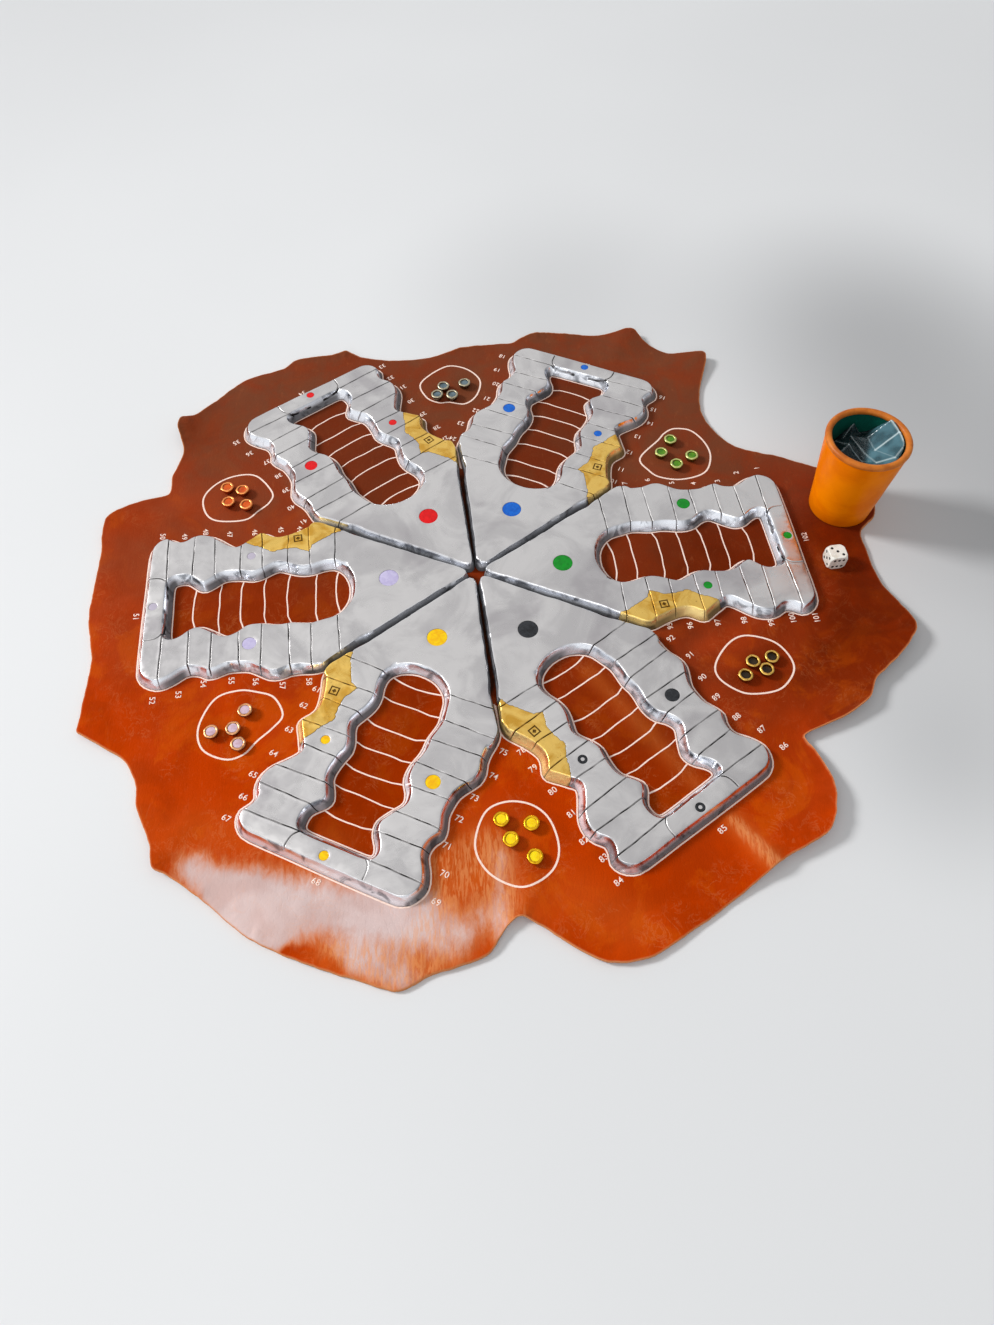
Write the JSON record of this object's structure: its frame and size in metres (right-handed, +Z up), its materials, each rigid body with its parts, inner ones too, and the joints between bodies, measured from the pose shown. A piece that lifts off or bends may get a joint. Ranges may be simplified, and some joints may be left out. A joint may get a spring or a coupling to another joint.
{
  "type": "parcheesi board",
  "caption": "Race game for six players: cast metal plates in a star on a leather hide, with brass counters, a die and a dice cup.",
  "frame": {"origin": "centre of the star of plates, on the underside of the leather hide", "axes": "+Z up from the table; +X to the right in the picture, nearly along the green plate; +Y away from the camera"},
  "size_m": [0.7491, 0.701, 0.093],
  "materials": {
    "hide_leather": "satin burnt orange, fine grain",
    "printed_ink": "pale pink ink",
    "cast_aluminium": "satin, edges polished",
    "inlay_brass": "satin, hammered",
    "enamel_green": "poured resin",
    "enamel_blue": "poured resin",
    "enamel_red": "poured resin",
    "enamel_lilac": "poured pearly resin",
    "enamel_yellow": "poured resin",
    "enamel_black": "poured resin",
    "counter_brass": "satin, filed rim",
    "die_white": "glossy white",
    "die_black": "painted pips",
    "cup_leather": "smooth orange",
    "cup_felt": "dark green felt",
    "cup_binding_leather": "tan rolled edge",
    "clear_film": "crumpled clear film"
  },
  "bodies": {
    "board": {"leather_hide": "hide_leather", "window_lines": "printed_ink", "plate_lines": "printed_ink", "counter_loops": "printed_ink"},
    "plate_green": {"plate_green": "cast_aluminium", "inlay_green": "inlay_brass", "enamel_green": "enamel_green"},
    "plate_blue": {"plate_blue": "cast_aluminium", "inlay_blue": "inlay_brass", "enamel_blue": "enamel_blue"},
    "plate_red": {"plate_red": "cast_aluminium", "inlay_red": "inlay_brass", "enamel_red": "enamel_red"},
    "plate_lilac": {"plate_lilac": "cast_aluminium", "inlay_lilac": "inlay_brass", "enamel_lilac": "enamel_lilac"},
    "plate_yellow": {"plate_yellow": "cast_aluminium", "inlay_yellow": "inlay_brass", "enamel_yellow": "enamel_yellow"},
    "plate_black": {"plate_black": "cast_aluminium", "inlay_black": "inlay_brass", "enamel_black": "enamel_black"},
    "counter_red_1": {"counter_red_1": "counter_brass"},
    "counter_red_2": {"counter_red_2": "counter_brass"},
    "counter_red_3": {"counter_red_3": "counter_brass"},
    "counter_red_4": {"counter_red_4": "counter_brass"},
    "counter_blue_1": {"counter_blue_1": "counter_brass"},
    "counter_blue_2": {"counter_blue_2": "counter_brass"},
    "counter_blue_3": {"counter_blue_3": "counter_brass"},
    "counter_blue_4": {"counter_blue_4": "counter_brass"},
    "counter_green_1": {"counter_green_1": "counter_brass"},
    "counter_green_2": {"counter_green_2": "counter_brass"},
    "counter_green_3": {"counter_green_3": "counter_brass"},
    "counter_green_4": {"counter_green_4": "counter_brass"},
    "counter_black_1": {"counter_black_1": "counter_brass"},
    "counter_black_2": {"counter_black_2": "counter_brass"},
    "counter_black_3": {"counter_black_3": "counter_brass"},
    "counter_black_4": {"counter_black_4": "counter_brass"},
    "counter_yellow_1": {"counter_yellow_1": "counter_brass"},
    "counter_yellow_2": {"counter_yellow_2": "counter_brass"},
    "counter_yellow_3": {"counter_yellow_3": "counter_brass"},
    "counter_yellow_4": {"counter_yellow_4": "counter_brass"},
    "counter_lilac_1": {"counter_lilac_1": "counter_brass"},
    "counter_lilac_2": {"counter_lilac_2": "counter_brass"},
    "counter_lilac_3": {"counter_lilac_3": "counter_brass"},
    "counter_lilac_4": {"counter_lilac_4": "counter_brass"},
    "die": {"die_cube": "die_white", "die_pips": "die_black"},
    "dice_cup": {"cup_shell": "cup_leather", "cup_lining": "cup_felt", "cup_binding": "cup_binding_leather", "cup_base": "cup_leather"}
  },
  "joints": [
    {"name": "plate_green_lift", "type": "slide", "parent": "board", "child": "plate_green", "axis": [0, 0, 1], "range_m": [0, 0.12]},
    {"name": "plate_blue_lift", "type": "slide", "parent": "board", "child": "plate_blue", "axis": [0, 0, 1], "range_m": [0, 0.12]},
    {"name": "plate_red_lift", "type": "slide", "parent": "board", "child": "plate_red", "axis": [0, 0, 1], "range_m": [0, 0.12]},
    {"name": "plate_lilac_lift", "type": "slide", "parent": "board", "child": "plate_lilac", "axis": [0, 0, 1], "range_m": [0, 0.12]},
    {"name": "plate_yellow_lift", "type": "slide", "parent": "board", "child": "plate_yellow", "axis": [0, 0, 1], "range_m": [0, 0.12]},
    {"name": "plate_black_lift", "type": "slide", "parent": "board", "child": "plate_black", "axis": [0, 0, 1], "range_m": [0, 0.12]},
    {"name": "counter_red_1_lift", "type": "slide", "parent": "board", "child": "counter_red_1", "axis": [0, 0, 1], "range_m": [0, 0.08]},
    {"name": "counter_red_2_lift", "type": "slide", "parent": "board", "child": "counter_red_2", "axis": [0, 0, 1], "range_m": [0, 0.08]},
    {"name": "counter_red_3_lift", "type": "slide", "parent": "board", "child": "counter_red_3", "axis": [0, 0, 1], "range_m": [0, 0.08]},
    {"name": "counter_red_4_lift", "type": "slide", "parent": "board", "child": "counter_red_4", "axis": [0, 0, 1], "range_m": [0, 0.08]},
    {"name": "counter_blue_1_lift", "type": "slide", "parent": "board", "child": "counter_blue_1", "axis": [0, 0, 1], "range_m": [0, 0.08]},
    {"name": "counter_blue_2_lift", "type": "slide", "parent": "board", "child": "counter_blue_2", "axis": [0, 0, 1], "range_m": [0, 0.08]},
    {"name": "counter_blue_3_lift", "type": "slide", "parent": "board", "child": "counter_blue_3", "axis": [0, 0, 1], "range_m": [0, 0.08]},
    {"name": "counter_blue_4_lift", "type": "slide", "parent": "board", "child": "counter_blue_4", "axis": [0, 0, 1], "range_m": [0, 0.08]},
    {"name": "counter_green_1_lift", "type": "slide", "parent": "board", "child": "counter_green_1", "axis": [0, 0, 1], "range_m": [0, 0.08]},
    {"name": "counter_green_2_lift", "type": "slide", "parent": "board", "child": "counter_green_2", "axis": [0, 0, 1], "range_m": [0, 0.08]},
    {"name": "counter_green_3_lift", "type": "slide", "parent": "board", "child": "counter_green_3", "axis": [0, 0, 1], "range_m": [0, 0.08]},
    {"name": "counter_green_4_lift", "type": "slide", "parent": "board", "child": "counter_green_4", "axis": [0, 0, 1], "range_m": [0, 0.08]},
    {"name": "counter_black_1_lift", "type": "slide", "parent": "board", "child": "counter_black_1", "axis": [0, 0, 1], "range_m": [0, 0.08]},
    {"name": "counter_black_2_lift", "type": "slide", "parent": "board", "child": "counter_black_2", "axis": [0, 0, 1], "range_m": [0, 0.08]},
    {"name": "counter_black_3_lift", "type": "slide", "parent": "board", "child": "counter_black_3", "axis": [0, 0, 1], "range_m": [0, 0.08]},
    {"name": "counter_black_4_lift", "type": "slide", "parent": "board", "child": "counter_black_4", "axis": [0, 0, 1], "range_m": [0, 0.08]},
    {"name": "counter_yellow_1_lift", "type": "slide", "parent": "board", "child": "counter_yellow_1", "axis": [0, 0, 1], "range_m": [0, 0.08]},
    {"name": "counter_yellow_2_lift", "type": "slide", "parent": "board", "child": "counter_yellow_2", "axis": [0, 0, 1], "range_m": [0, 0.08]},
    {"name": "counter_yellow_3_lift", "type": "slide", "parent": "board", "child": "counter_yellow_3", "axis": [0, 0, 1], "range_m": [0, 0.08]},
    {"name": "counter_yellow_4_lift", "type": "slide", "parent": "board", "child": "counter_yellow_4", "axis": [0, 0, 1], "range_m": [0, 0.08]},
    {"name": "counter_lilac_1_lift", "type": "slide", "parent": "board", "child": "counter_lilac_1", "axis": [0, 0, 1], "range_m": [0, 0.08]},
    {"name": "counter_lilac_2_lift", "type": "slide", "parent": "board", "child": "counter_lilac_2", "axis": [0, 0, 1], "range_m": [0, 0.08]},
    {"name": "counter_lilac_3_lift", "type": "slide", "parent": "board", "child": "counter_lilac_3", "axis": [0, 0, 1], "range_m": [0, 0.08]},
    {"name": "counter_lilac_4_lift", "type": "slide", "parent": "board", "child": "counter_lilac_4", "axis": [0, 0, 1], "range_m": [0, 0.08]},
    {"name": "die_lift", "type": "slide", "parent": "board", "child": "die", "axis": [0, 0, 1], "range_m": [0, 0.08]},
    {"name": "dice_cup_lift", "type": "slide", "parent": "board", "child": "dice_cup", "axis": [0, 0, 1], "range_m": [0, 0.15]}
  ]
}
